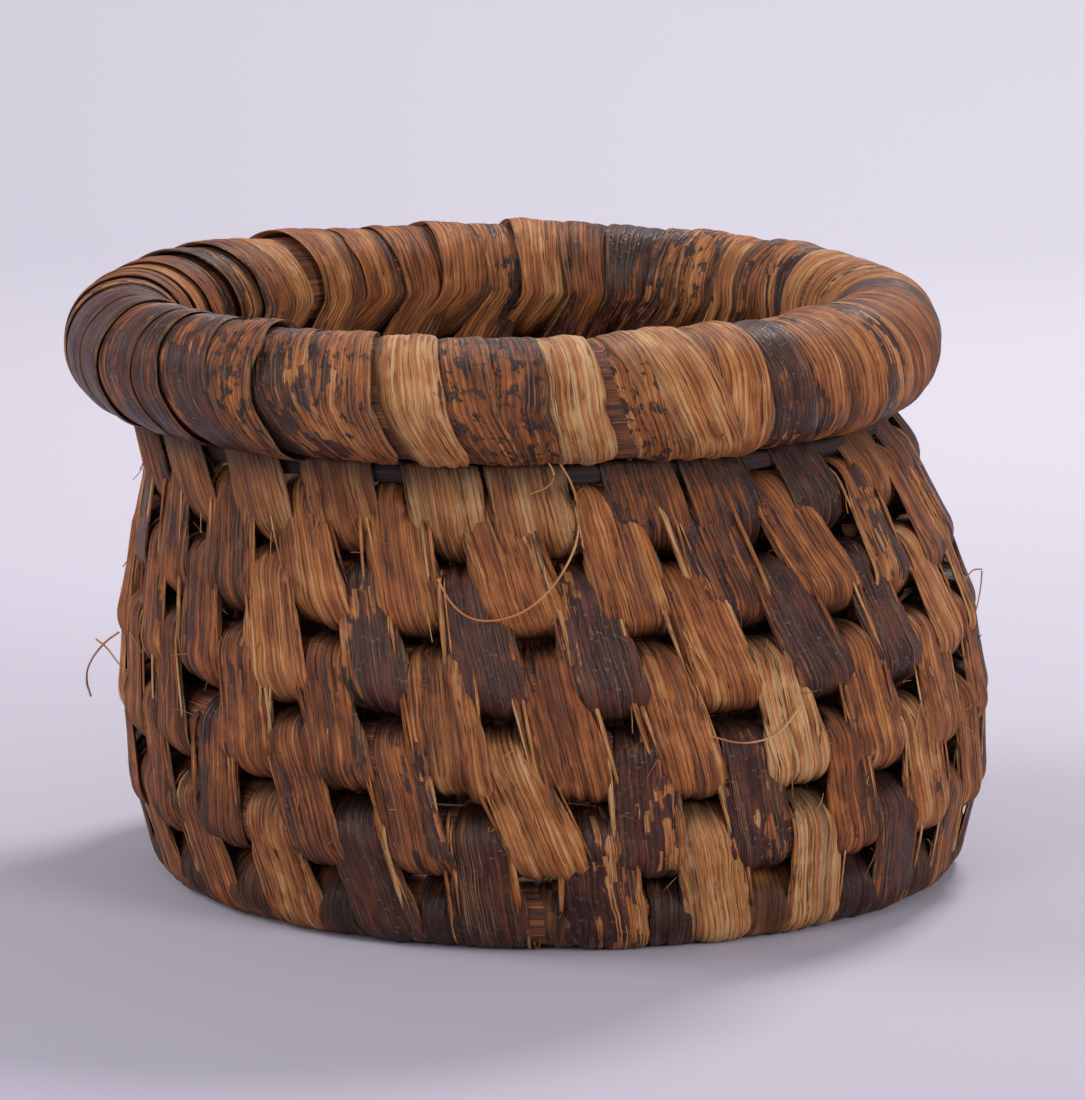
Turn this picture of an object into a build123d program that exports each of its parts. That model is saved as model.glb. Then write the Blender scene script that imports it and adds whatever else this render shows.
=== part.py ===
"""A small coiled basket: one long bundle of fibre wound into a floor and a wall,
sewn row to row with broad leaf strips, and closed with a fat wrapped rim.

Millimetres, +Z up. The origin is the middle of the underside, on the ground.
Angles run counter-clockwise seen from above. The coil is measured in turns:
turn 0 starts on the left, and the first half of every turn is the front.
"""

from build123d import *
import os
from math import acos, atan2, ceil, cos, degrees, floor, hypot, pi, radians, sin, sqrt

os.makedirs("parts", exist_ok=True)

# The rim: a thick ring that sits a little to the left of the foot, and sets the basket's size
rim_radius = 38.5
rim_height = 54.4
rim_core_radius = 5.75
rim_shift = -5.5
rim_shift_power = 2.8
rim_joint_gap = 0.6

# The wall under it: which way each row steps, the room between rows and under the rim
wall_lean_degrees = (75, 88, 95, 104, 108)
row_gap = 0.63
crease_rise = 2.49
rim_overhang = 2.8
knot_radius = 3.23

# The leaf strips
strip_thickness = 0.45
strip_width = 5.6
floor_strip_width = 3.5
floor_stitch_room = 13.0
strip_clearance = 0.16
strip_gap = 0.5
strip_end_gap = 0.5
stitch_pairs = 23
stitch_lean_share = 0.17
wall_stitch_count = 134
rim_turns = 47
turns_per_wrap = 4

# The knot's edge and dimple, and the thinned end under the rim
knot_edge_radius = 1.0
knot_dimple_depth = 0.8
tail_thick_radius = 2.4
tail_taper = 0.1
tail_run = 0.88

# Flat faces that stand for the round of one strip, and slices of the thinned end
faces_per_half_turn = 4
rim_faces = 12
tail_slices = 40
small_step = 1e-4

# Worked out from the sizes above: the rows and their strips share out the height under the rim,
# and as many turns as fit fill the floor
rim_inner = rim_core_radius + strip_clearance
rim_outer = rim_inner + strip_thickness
rise_share = sum(sin(radians(lean)) for lean in wall_lean_degrees)
spread_share = sum(cos(radians(lean)) for lean in wall_lean_degrees)
strip_outer = (rim_height - rim_outer - crease_rise - row_gap * rise_share) / (2 + 2 * rise_share)
strip_inner = strip_outer - strip_thickness
coil_radius = strip_inner - strip_clearance
coil_pitch = 2 * strip_outer + row_gap
floor_height = strip_outer
start_radius = knot_radius + strip_clearance + strip_outer
foot_radius = rim_radius - rim_overhang - coil_pitch * spread_share
floor_turns = round((foot_radius - start_radius) / coil_pitch)
floor_pitch = (foot_radius - start_radius) / floor_turns
wall_rows = len(wall_lean_degrees) + 1
stitch_spacing = 1 / (stitch_pairs + 1 / 2 + stitch_lean_share)
column_turns = stitch_spacing / 2
lean_turns = stitch_lean_share * stitch_spacing
coil_end = floor_turns + stitch_spacing * wall_stitch_count + column_turns


def back_ramp(turns):
    """Share of the step to the next row: none along the front, an easy climb round the back."""
    part = turns - floor(turns)
    if turns < 0 or part <= 1 / 2:
        return 0
    return (1 - cos(2 * pi * (part - 1 / 2))) / 2


def row_step(row):
    """Step from the row before: its length, and its direction in degrees above level."""
    if row <= floor_turns:
        return floor_pitch, 0
    return coil_pitch, wall_lean_degrees[min(row - floor_turns, len(wall_lean_degrees)) - 1]


def coil_ring(turns):
    """Radius and height of the coil's middle: the floor's start, and a step for every row since."""
    share = back_ramp(turns)
    radius = start_radius + floor_pitch * share
    height = floor_height
    for row in range(1, floor(turns) + 1):
        (pitch, lean), (next_pitch, next_lean) = row_step(row), row_step(row + 1)
        pitch += (next_pitch - pitch) * share
        lean += (next_lean - lean) * share
        radius += pitch * cos(radians(lean))
        height += pitch * sin(radians(lean))
    return radius, height


def sideways(height):
    """How far the basket's axis has wandered at a height."""
    return rim_shift * (height / rim_height) ** rim_shift_power


def outward(turns):
    """Level direction away from the axis."""
    angle = pi + 2 * pi * turns
    return Vector(cos(angle), sin(angle), 0)


def coil_middle(turns):
    """A point of the coil's middle line."""
    radius, height = coil_ring(turns)
    return Vector(sideways(height), 0, height) + outward(turns) * radius


def coil_along(turns):
    """Direction of the coil's middle line."""
    return (coil_middle(turns + small_step) - coil_middle(turns - small_step)).normalized()


def rim_outward(turns):
    """Level direction from the rim's axis to the coil: strips go straight up to the rim from there."""
    away = coil_middle(turns) - Vector(rim_shift, 0, 0)
    return Vector(away.X, away.Y, 0).normalized()


def rim_middle(turns):
    """A point of the rim's middle line, above a point of the coil."""
    return Vector(rim_shift, 0, rim_height) + rim_outward(turns) * rim_radius


def rim_along(turns):
    """Direction of the rim's middle line."""
    return Vector(0, 0, 1).cross(rim_outward(turns))


def crease(turns):
    """Middle and half width of the space between the row one turn before and the rim above it."""
    below, above = coil_middle(turns - 1), rim_middle(turns - 1)
    way = (above - below).normalized()
    low = below + way * (strip_outer / cos(pi / faces_per_half_turn / 2))
    high = above - way * (rim_outer / cos(pi / rim_faces))
    return (low + high) / 2, (high - low).length / 2


def tail_ring(turns):
    """Middle and radius of the thinned end, which leaves the coil's end smoothly to fill the crease."""
    part = min(max((turns - coil_end) / tail_taper, 0), 1)
    share = part * part * (3 - 2 * part)
    middle, half_width = crease(turns)
    return coil_middle(turns) * (1 - share) + middle * share, min(tail_thick_radius, half_width - strip_clearance)


def rounding(radius, first, last, faces):
    """Corners of the flat faces that touch a circle from one direction to another, in degrees.

    Each corner is (sideways from the circle's middle, up from it).
    """
    step = (last - first) / faces
    reach = radius / cos(radians(step / 2))
    turned = [radians(first + step * (face + 1 / 2)) for face in range(faces)]
    return [(reach * cos(angle), reach * sin(angle)) for angle in turned]


class Bundle:
    """A bundle that strips go round: where its middle runs, which way, and how tightly it bends."""

    def __init__(self, middle, along, bend_radius):
        self.middle = middle
        self.along = along
        self.bend_radius = bend_radius

    def frame(self, turns):
        """Middle, direction, and the two directions square to the bundle: away from the axis, and up."""
        along = self.along(turns)
        across = along.cross(Vector(0, 0, 1)).normalized()
        return self.middle(turns), along, across, across.cross(along)

    def room(self, turns, share, side):
        """Length that a share of a turn takes up, so far to the side of the bundle's middle."""
        length = (self.middle(turns + share / 2) - self.middle(turns - share / 2)).length
        return length * (1 + side / self.bend_radius(turns))


coil = Bundle(coil_middle, coil_along, lambda turns: coil_ring(turns)[0])
rim = Bundle(rim_middle, rim_along, lambda turns: rim_radius)


def offset_between(upper, upper_turns, lower, lower_turns):
    """From one bundle's middle to another's, as (away from the axis, up)."""
    gap = upper.middle(upper_turns) - lower.middle(lower_turns)
    return gap.dot(outward(upper_turns)), gap.Z


def mitres(outline):
    """Thickness direction and stretch at each corner of an outline that has its bundle on the right."""
    normals = []
    for start, end in zip(outline, outline[1:]):
        length = hypot(end[0] - start[0], end[1] - start[1])
        normals.append(((start[1] - end[1]) / length, (end[0] - start[0]) / length))
    result = []
    for before, after in zip([normals[0]] + normals, normals + [normals[-1]]):
        side = (before[0] + after[0]) / 2
        up = (before[1] + after[1]) / 2
        size = hypot(side, up)
        result.append((side / size, up / size, 1 / size))
    return result


def strip_section(bundle, turns, corner, mitre, room, width):
    """Plane, width and thickness of a strip where it crosses one corner of its outline."""
    middle, along, across, rise = bundle.frame(turns)
    normal = across * mitre[0] + rise * mitre[1]
    thickness = strip_thickness * mitre[2]
    point = middle + across * corner[0] + rise * corner[1] + normal * (thickness / 2)
    plane = Plane(origin=point, x_dir=along, z_dir=along.cross(normal))
    return plane, min(bundle.room(turns, room, corner[0]) - strip_gap, width), thickness


def lay_strip(sections):
    """Join a strip's sections by ruled faces, inside the part being built."""
    slices = []
    for plane, width, thickness in sections:
        with BuildSketch(plane) as strip_slice:
            Rectangle(width, thickness)
        slices.append(strip_slice.sketch)
    loft(slices, ruled=True)


def stitch_sections(turns, lean, room, width):
    """Sections of one stitch round a row and the row before it, from one hidden end to the other."""
    away = offset_between(coil, turns, coil, turns - 1)
    facing = degrees(atan2(away[1], away[0]))
    half = hypot(*away) / 2
    ahead = (cos(radians(facing)), sin(radians(facing)))
    inside = (-ahead[1], ahead[0])
    over = rounding(strip_inner, facing + 90, facing - 90, faces_per_half_turn)
    under = rounding(strip_inner, facing - 90, facing - 270, faces_per_half_turn)
    end = half - strip_end_gap / 2
    over.insert(0, tuple(inside[axis] * strip_inner - ahead[axis] * end for axis in (0, 1)))
    under.append(tuple(inside[axis] * strip_inner + ahead[axis] * end for axis in (0, 1)))
    stations = [(turns, half, corner) for corner in over]
    stations += [(turns - 1, -half, corner) for corner in under]
    outline = [(corner[0] + ahead[0] * lift, corner[1] + ahead[1] * lift) for row, lift, corner in stations]
    sections = []
    for (row, lift, corner), mitre in zip(stations, mitres(outline)):
        climb = corner[1] if row >= floor_turns else 0
        row -= lean * (climb / coil_pitch + lift / half / 2)
        sections.append(strip_section(coil, row, corner, mitre, room, width))
    return sections


def next_floor_stitches(ends, keep_every):
    """Where the next turn in is sewn: midway between the stitch ends that come down on it."""
    return [(first + second) / 2 for first, second in zip(ends, ends[1:])][::keep_every]


def rim_corners(first, last):
    """Corners of the flats round the rim's core, each as (degrees, (away from the axis, up))."""
    reach = rim_inner / cos(pi / rim_faces)
    angles = [360 / rim_faces * (number + 1 / 2) for number in range(first, last)]
    return [(angle, (reach * cos(radians(angle)), reach * sin(radians(angle)))) for angle in angles]


def touch_direction(corner, side):
    """Where a line from a corner touches the strip's circle round the coil, in degrees."""
    return degrees(atan2(corner[1], corner[0]) + side * acos(strip_inner / hypot(*corner)))


def wrap_stations(turns, long):
    """Corners of one turn round the rim: under it, up its outside, over the top and down its inside.

    A short turn stays on the rim. A long one goes down and round the top row of the coil
    first, and comes up through the crease. Each is (bundle, turns, degrees, corner).
    """
    half, quarter = rim_faces // 2, rim_faces // 4
    under = rim_corners(-half, -quarter)
    over = rim_corners(-quarter, half)
    if not long:
        return [(rim, turns, angle, corner) for angle, corner in under + over]
    away = offset_between(rim, turns, coil, turns)
    seen = [(away[0] + corner[0], away[1] + corner[1]) for angle, corner in under + over]
    leave_rim = degrees(atan2(-away[1], -away[0]) - acos((rim_inner - strip_inner) / hypot(*away)))
    kept = [(angle, corner) for angle, corner in under if angle < leave_rim + 180 / rim_faces]
    arrive = touch_direction(seen[len(kept) - 1], 1)
    leave = touch_direction(seen[len(under)], -1)
    loop = rounding(strip_inner, arrive - 360 * (arrive > 0), leave, faces_per_half_turn)
    stations = [(rim, turns, angle, corner) for angle, corner in kept]
    stations += [(coil, turns, 0, corner) for corner in loop]
    return stations + [(rim, turns, angle, corner) for angle, corner in over]


def wrap_sections(first_wrap, last_wrap):
    """Sections of one rim strip, short and long turns by turns, working round the rim."""
    stations = []
    for wrap in range(first_wrap, last_wrap):
        stations += wrap_stations(wrap_start - wrap * column_turns, wrap % 2 == 1)
    lift = strip_end_gap / 2
    stations.insert(0, (rim, stations[0][1], -180, (-rim_inner, -lift)))
    stations.append((rim, stations[-1][1], 180, (-rim_inner, lift)))
    outline = []
    for bundle, turns, angle, corner in stations:
        away = (0, 0) if bundle is rim else offset_between(coil, turns, rim, turns)
        outline.append((-away[0] - corner[0], away[1] + corner[1]))
    sections = []
    for (bundle, turns, angle, corner), (side, up, stretch) in zip(stations, mitres(outline)):
        drop = corner[1]
        if bundle is rim:
            drop = min(drop, 0)
            turns -= rim_lead + column_turns * max(angle, 0) / 180
        turns -= lean_turns * drop / coil_pitch
        sections.append(strip_section(bundle, turns, corner, (-side, up, stretch), column_turns, strip_width))
    return sections


def save(part, name):
    """Label a finished piece and write it."""
    part.label = name
    export_step(part, f"parts/{name}.step")


# The knot that the coil starts round
knot_height = 2 * floor_height
with BuildPart() as start_knot:
    with BuildSketch(Plane.XZ):
        with BuildLine():
            Polyline((0, 0), (knot_radius, 0), (knot_radius, knot_height))
            Line((knot_radius, knot_height), (knot_radius / 2, knot_height))
            Line((knot_radius / 2, knot_height), (0, knot_height - knot_dimple_depth))
            Line((0, knot_height - knot_dimple_depth), (0, 0))
        make_face()
    revolve(axis=Axis.Z)
    fillet(start_knot.edges().filter_by(GeomType.CIRCLE).group_by(SortBy.RADIUS)[-1], knot_edge_radius)
save(start_knot.part, "start_knot")


def biarc(first, last):
    """The middle point and direction of two arcs that join two points of the coil smoothly."""
    start, end = coil_middle(first), coil_middle(last)
    leaving, arriving = coil_along(first), coil_along(last)
    chord = end - start
    both = leaving + arriving
    bend = 2 * (1 - leaving.dot(arriving))
    reach = (sqrt(chord.dot(both) ** 2 + bend * chord.dot(chord)) - chord.dot(both)) / bend
    near = start + leaving * reach
    far = end - arriving * reach
    return (near + far) / 2, (far - near).normalized()


# The foundation: one unbroken bundle, floor and wall
quarters = ceil(coil_end * 4)
stops = [quarter / 4 for quarter in range(quarters)] + [coil_end]
with BuildPart() as foundation_coil:
    with BuildLine() as coil_path:
        for first, last in zip(stops, stops[1:]):
            join, direction = biarc(first, last)
            TangentArc(coil_middle(first), join, tangent=coil_along(first))
            TangentArc(join, coil_middle(last), tangent=direction)
    with BuildSketch(Plane(origin=coil_middle(0), z_dir=coil_along(0))):
        Circle(coil_radius)
    sweep(path=coil_path.line)
save(foundation_coil.part, "foundation_coil")

# Least gap between the coil and itself, one turn on
samples = 120
near_misses = []
for sample in range(ceil((coil_end - 1) * samples)):
    here = coil_middle(sample / samples)
    for ahead in range(samples * 3 // 4, samples * 5 // 4):
        later = min((sample + ahead) / samples, coil_end)
        near_misses.append((coil_middle(later) - here).length)
print("coil length", round(coil_path.wires()[0].length, 1), "least gap to itself",
      round(min(near_misses) - 2 * coil_radius, 2))

# Stitches of the wall, a node for each row
stitch_turns = [floor_turns + stitch_spacing * number for number in range(wall_stitch_count + 1)]
for row in range(wall_rows):
    with BuildPart() as row_stitches:
        for turns in stitch_turns:
            if floor(turns) == floor_turns + row:
                lay_strip(stitch_sections(turns, lean_turns, column_turns, strip_width))
        if row == 1:
            split(bisect_by=Plane.XY, keep=Keep.TOP)
    save(row_stitches.part, f"wall_stitches_row_{row + 1}")

# Stitches of the floor, fewer towards the middle: half of the last turn's where they would crowd
ends = [turns - 1 + lean_turns / 2 for turns in stitch_turns if turns < floor_turns + 1]
spacing = stitch_spacing
for turn in range(floor_turns - 1, 0, -1):
    apart = 2 * pi * coil_ring(turn)[0] * spacing
    keep_every = 2 if apart < floor_stitch_room else 1
    sewn = next_floor_stitches(ends, keep_every)
    with BuildPart() as ring_stitches:
        for turns in sewn:
            lay_strip(stitch_sections(turns, 0, spacing / 2, floor_strip_width))
    save(ring_stitches.part, f"floor_stitches_turn_{turn}")
    ends = [turns - 1 for turns in sewn]
    spacing *= keep_every

# The coil's thinned end, packed in the crease between the top row and the rim
with BuildPart() as coil_tail:
    for number in range(tail_slices + 1):
        turns = coil_end + tail_run * number / tail_slices
        middle, radius = tail_ring(turns)
        ahead = tail_ring(turns + small_step)[0] - tail_ring(turns - small_step)[0]
        with BuildSketch(Plane(origin=middle, x_dir=ahead.cross(Vector(0, 0, 1)), z_dir=ahead)):
            Circle(radius)
    loft(ruled=True)
save(coil_tail.part, "coil_tail")

# The rim's core: a thick bundle bent round until its two ends meet
rim_plane = Plane(origin=(rim_shift, 0, rim_height), x_dir=(1, 0, 0), z_dir=(0, -1, 0))
with BuildPart() as rim_core:
    with BuildSketch(rim_plane):
        with Locations((rim_radius, 0)):
            Circle(rim_core_radius)
    rim_sweep = 360 - degrees(rim_joint_gap / rim_radius)
    revolve(axis=Axis((rim_shift, 0, 0), (0, 0, 1)), revolution_arc=rim_sweep)
save(rim_core.part, "rim_core")

# The rim's strips
top_row_height = coil_ring(floor_turns + wall_rows - 1)[1]
rim_lead = lean_turns * (rim_height - top_row_height) / coil_pitch
wrap_start = stitch_turns[-1] - lean_turns / 2
for number, first_wrap in enumerate(range(0, rim_turns, turns_per_wrap)):
    with BuildPart() as rim_wrap:
        lay_strip(wrap_sections(first_wrap, min(first_wrap + turns_per_wrap, rim_turns)))
    save(rim_wrap.part, f"rim_wrap_{number + 1:02d}")
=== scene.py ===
# %% [markdown]
# A small coiled basket, dressed for its portrait.
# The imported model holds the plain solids: one long coil, its stitches, a fat rim and the rim's wraps.
# Here every strip of dried leaf gets its real form and finish: crowned, pleated, pinched where it is
# tucked in, veined, torn and spotted. The strips are worked out by formula around the same coil, so each
# one lies where its solid lies.

import bpy
import numpy as np
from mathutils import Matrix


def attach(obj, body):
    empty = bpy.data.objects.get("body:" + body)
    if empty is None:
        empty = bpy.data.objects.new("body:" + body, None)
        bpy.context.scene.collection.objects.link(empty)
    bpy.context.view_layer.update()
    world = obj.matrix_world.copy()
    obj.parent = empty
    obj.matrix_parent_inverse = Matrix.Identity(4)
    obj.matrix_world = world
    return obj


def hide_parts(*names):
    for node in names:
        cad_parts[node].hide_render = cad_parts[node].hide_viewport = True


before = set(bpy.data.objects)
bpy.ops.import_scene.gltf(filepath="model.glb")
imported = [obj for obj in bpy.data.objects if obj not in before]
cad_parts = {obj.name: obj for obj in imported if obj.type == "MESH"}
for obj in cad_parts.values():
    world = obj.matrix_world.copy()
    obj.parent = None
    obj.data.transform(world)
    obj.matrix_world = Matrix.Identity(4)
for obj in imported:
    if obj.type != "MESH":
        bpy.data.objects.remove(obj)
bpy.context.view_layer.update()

# %% [markdown]
# The coil. A basket maker winds one bundle outward from a knot, turns it up at the foot and spirals up
# the wall. A stack of separate rings would be easier to make, but it would have no climb from row to row.
# A spiral that only climbs round the back keeps the rows level in front, as on the real one. The same few
# sizes as in the solids give the middle line as whole arrays of points.

# %% Sizes of the coil and the rim, in millimetres and turns
METRES = 0.001
COIL_RADIUS = 3.0
COIL_PITCH = 7.85
FOOT_RADIUS = 38.4
FLOOR_TURNS = 4
WALL_LEAN_DEGREES = (75, 88, 95, 104, 108)
RIM_RADIUS = 38.5
RIM_HEIGHT = 54.4
RIM_CORE_RADIUS = 5.75
RIM_SHIFT = -5.5
RIM_SHIFT_POWER = 2.8
STRIP_CLEARANCE = 0.16
STRIP_THICKNESS = 0.45
STRIP_PAIRS = 23
LEAN_SHARE = 0.17
WALL_STITCHES = 134
RIM_TURNS = 47
TURNS_PER_WRAP = 4

STRIP_MIDDLE = COIL_RADIUS + STRIP_CLEARANCE + STRIP_THICKNESS / 2
RIM_STRIP_MIDDLE = RIM_CORE_RADIUS + STRIP_CLEARANCE + STRIP_THICKNESS / 2
FLOOR_HEIGHT = COIL_RADIUS + STRIP_CLEARANCE + STRIP_THICKNESS
START_RADIUS = FOOT_RADIUS - FLOOR_TURNS * COIL_PITCH
WALL_ROWS = len(WALL_LEAN_DEGREES) + 1
SPACING = 1 / (STRIP_PAIRS + 1 / 2 + LEAN_SHARE)
COLUMN = SPACING / 2
LEAN = LEAN_SHARE * SPACING
UP = np.array([0.0, 0.0, 1.0])


# %% The coil's middle line
def back_ramp(turns):
    """Share of the step to the next row: 0 along the front, half a cosine wave round the back."""
    part = turns - np.floor(turns)
    climb = (1 - np.cos(2 * np.pi * (part - 1 / 2))) / 2
    return np.where((turns < 0) | (part <= 1 / 2), 0.0, climb)


def step_lean(row):
    """Direction from one row to the next, in degrees above level."""
    if row <= FLOOR_TURNS:
        return 0
    return WALL_LEAN_DEGREES[min(row - FLOOR_TURNS, len(WALL_LEAN_DEGREES)) - 1]


def coil_ring(turns):
    """Radius and height of the coil: the sum of one pitch per finished row, along that row's lean."""
    share = back_ramp(turns)
    radius = START_RADIUS + COIL_PITCH * share
    height = np.full(np.shape(turns), FLOOR_HEIGHT)
    for row in range(1, FLOOR_TURNS + WALL_ROWS + 1):
        lean = np.radians(step_lean(row) + (step_lean(row + 1) - step_lean(row)) * share)
        reached = np.floor(turns) >= row
        radius = radius + COIL_PITCH * np.cos(lean) * reached
        height = height + COIL_PITCH * np.sin(lean) * reached
    return radius, height


def outward(turns):
    """Level unit vectors away from the axis: cosine and sine of the angle, turn 0 on the left."""
    angle = np.pi + 2 * np.pi * turns
    return np.stack([np.cos(angle), np.sin(angle), np.zeros(np.shape(turns))], axis=-1)


def unit(vectors):
    """Vectors divided by their lengths."""
    return vectors / np.linalg.norm(vectors, axis=-1, keepdims=True)


def run_lengths(points):
    """Length along a line up to each of its points: the running sum of its steps."""
    return np.concatenate([[0], np.cumsum(np.linalg.norm(np.diff(points, axis=0), axis=1))])


def read_at(points, known, wanted):
    """Points of a line at wanted lengths, read between the known lengths of its points."""
    return np.stack([np.interp(wanted, known, column) for column in points.T], axis=-1)


def coil_middle(turns):
    """Points of the coil's middle line: radius times outward, pushed sideways by a power of the height."""
    radius, height = coil_ring(turns)
    middle = outward(turns) * radius[..., None]
    middle[..., 0] += RIM_SHIFT * (height / RIM_HEIGHT) ** RIM_SHIFT_POWER
    middle[..., 2] += height
    return middle


def rim_frame(turns):
    """Middle of the rim above a point of the coil, and the rim's own outward direction there."""
    away = coil_middle(turns) - np.array([RIM_SHIFT, 0, 0])
    away[..., 2] = 0
    away = unit(away)
    return np.array([RIM_SHIFT, 0, RIM_HEIGHT]) + away * RIM_RADIUS, away


top_point = coil_middle(np.array([FLOOR_TURNS + WALL_ROWS - 0.75]))[0]
print("top row in front, mm", np.round(top_point, 1))

# %% [markdown]
# A strip is a closed band: an outline to follow, and a flat section with soft edges carried along it.
# Leaf isn't flat, though: it bulges over the bundle, folds into pleats, narrows where neighbours squeeze
# it, its edges wander, and it stands a little proud or a little low. Cloth simulation could fold it, but
# hundreds of strips would take long. Here all of that is added to two numbers on the grid, the place
# across the strip and the height above the outline, before the grid is bent into place.

# %% One strip's own habits
random = np.random.default_rng(61)
PLEATS = ((1.3, 0.17), (2.6, 0.22), (4.9, 0.15))
PLEAT_SHARPNESS = 0.6
PLEAT_LEVEL = 0.75
FOLD_STEEPNESS = 9
EDGE_WAVES = ((2, 0.16), (5, 0.12), (9, 0.07))


def ramp(value, first, last):
    """A straight ramp: 0 as far as first, 1 from last on, in either direction."""
    return np.clip((value - first) / (last - first), 0, 1)


def strip_habits(width, look, **chosen):
    """How one strip differs from the next: drawn from the seeded generator, or given."""
    tint, skin, spots = look
    habits = {
        "width": width * random.uniform(0.9, 1.08),
        "tint": tint + random.normal(0, 0.04),
        "skin": skin + random.normal(0, 0.12),
        "spots": spots,
        "facing": random.choice([-1.0, 1.0]),
        "layer": random.uniform(-0.06, 0.08),
        "crown": random.uniform(0.0, 0.12),
        "droop": random.uniform(0.0, 0.45),
        "folds": random.uniform(0.7, 1.7),
        "fold": random.normal(0, 0.13),
        "fold_at": random.uniform(-0.7, 0.7),
        "top_pinch": random.uniform(0.18, 0.45),
        "low_pinch": random.uniform(0.04, 0.22),
        "drift": random.normal(0, 0.35),
        "yaw": random.normal(-0.06, 0.07),
        "tilt": random.normal(0, 0.12),
        "seed": random.uniform(0, 1000),
    }
    habits.update(chosen)
    return habits


def pleats(place, share, habits):
    """Long folds: sums of a power of |sine| across the strip, so valleys are sharp and ridges round.

    Each sine's phase wanders along the strip by a whole number of waves, so a closed band meets itself.
    One steeper step, a hyperbolic tangent, stands for the edge of a doubled part.
    """
    draw = np.random.default_rng(int(habits["seed"] * 1000))
    height = np.zeros(np.broadcast(place, share).shape)
    for folds, depth in PLEATS:
        phase, wander, waves = draw.uniform(0, 2 * np.pi), draw.uniform(-0.4, 0.4), draw.integers(1, 3)
        angle = np.pi * folds * place / 2 + phase + wander * np.sin(2 * np.pi * waves * share + phase)
        height += (np.abs(np.sin(angle)) ** PLEAT_SHARPNESS - PLEAT_LEVEL) * depth * habits["folds"]
    return height + habits["fold"] * np.tanh((place - habits["fold_at"]) * FOLD_STEEPNESS)


def wandering_edges(share, habits):
    """How far the two edges stray, in millimetres: three sines each, with whole waves along the strip."""
    draw = np.random.default_rng(int(habits["seed"] * 777))
    edges = []
    for _ in range(2):
        stray = np.zeros(np.shape(share))
        for waves, size in EDGE_WAVES:
            stray += size * draw.uniform(0.3, 1.3) * np.sin(2 * np.pi * (waves * share + draw.uniform()))
        edges.append(stray)
    return edges


def strip_profile(face_count=23, back_count=8):
    """Section of a strip: place across from -1 to 1 along the face, then back along the hidden side."""
    face = np.linspace(-1, 1, face_count)
    face = np.sign(face) * np.abs(face) ** 0.85
    back = np.linspace(1, -1, back_count)[1:-1]
    place = np.concatenate([face, back])
    side = np.concatenate([np.ones(face_count), -np.ones(len(back))])
    return place, side * (1 - 0.75 * np.abs(place) ** 6)


# %% Putting a set of bands into one mesh
class Bands:
    """Collects closed or open bands as grids of points and writes them as one mesh."""

    def __init__(self, name):
        self.name = name
        self.points, self.corners, self.sizes = [], [], []
        self.leaf, self.place = [], []
        # Besides tint, skin and spots, every point carries its amount of painted shade.
        self.values = {"tint": [], "skin": [], "spots": [], "deep": []}
        self.count = 0

    def add(self, grid, along, across, place, habits, values, closed):
        """Take a grid of points (along the band, round its section) and its pattern coordinates."""
        rings, sides = grid.shape[:2]
        ring, side = np.meshgrid(np.arange(rings if closed else rings - 1), np.arange(sides), indexing="ij")
        round_ring = np.stack([ring, ring, ring + 1, ring + 1], axis=-1)
        round_side = np.stack([side, side + 1, side + 1, side], axis=-1) % sides
        quads = (round_ring % rings) * sides + round_side
        along = np.append(along, 2 * along[-1] - along[-2])
        over = across[round_ring % rings, round_side] + habits["seed"] * 3
        leaf = np.stack([over, along[round_ring] + habits["seed"] * 7], axis=-1)
        spot = np.stack([place[round_side] * habits["facing"], along[round_ring] / along[-1]], axis=-1)
        flat, faces = grid.reshape(-1, 3), quads.reshape(-1, 4)
        start, second, third = (flat[faces[:, nth]] for nth in range(3))
        turned = np.cross(second - start, third - start)
        outward_sum = np.sum(turned * (start - flat.mean(axis=0)))
        order = slice(None, None, 1 if outward_sum > 0 else -1)
        self.corners.append((faces[:, order] + self.count).ravel())
        self.leaf.append(leaf.reshape(-1, 4, 2)[:, order].reshape(-1, 2))
        self.place.append(spot.reshape(-1, 4, 2)[:, order].reshape(-1, 2))
        self.sizes.append(np.full(len(faces), 4))
        if not closed:
            first, last = np.arange(sides)[::-1][order], (np.arange(sides) + (rings - 1) * sides)[order]
            self.corners.append(np.concatenate([first, last]) + self.count)
            self.leaf.append(np.zeros((2 * sides, 2)))
            self.place.append(np.zeros((2 * sides, 2)))
            self.sizes.append(np.full(2, sides))
        for key, kept in self.values.items():
            value = np.asarray(values.get(key, habits.get(key, 0.0)), dtype=float)
            value = value[:, None] if value.ndim == 1 else value
            kept.append(np.broadcast_to(value, (rings, sides)).ravel())
        self.points.append(flat)
        self.count += rings * sides

    def build(self, material):
        """Write the mesh, its two UV maps and its point values, and put it in the scene."""
        corners, sizes = np.concatenate(self.corners), np.concatenate(self.sizes)
        mesh = bpy.data.meshes.new(self.name)
        mesh.vertices.add(self.count)
        mesh.vertices.foreach_set("co", (np.concatenate(self.points) * METRES).ravel())
        mesh.loops.add(len(corners))
        mesh.loops.foreach_set("vertex_index", corners.astype(np.int32))
        mesh.polygons.add(len(sizes))
        starts = np.concatenate([[0], np.cumsum(sizes)[:-1]])
        mesh.polygons.foreach_set("loop_start", starts.astype(np.int32))
        mesh.polygons.foreach_set("use_smooth", np.ones(len(sizes), dtype=bool))
        mesh.update(calc_edges=True)
        for map_name, values in (("leaf", self.leaf), ("place", self.place)):
            uv_map = mesh.uv_layers.new(name=map_name)
            uv_map.data.foreach_set("uv", np.concatenate(values).ravel())
        for key, values in self.values.items():
            attribute = mesh.attributes.new(key, "FLOAT", "POINT")
            attribute.data.foreach_set("value", np.concatenate(values))
        piece = bpy.data.objects.new(self.name, mesh)
        bpy.context.collection.objects.link(piece)
        mesh.materials.append(material)
        print(self.name, "bands", len(self.points), "triangles", int(np.sum(sizes - 2)))
        return piece


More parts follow.
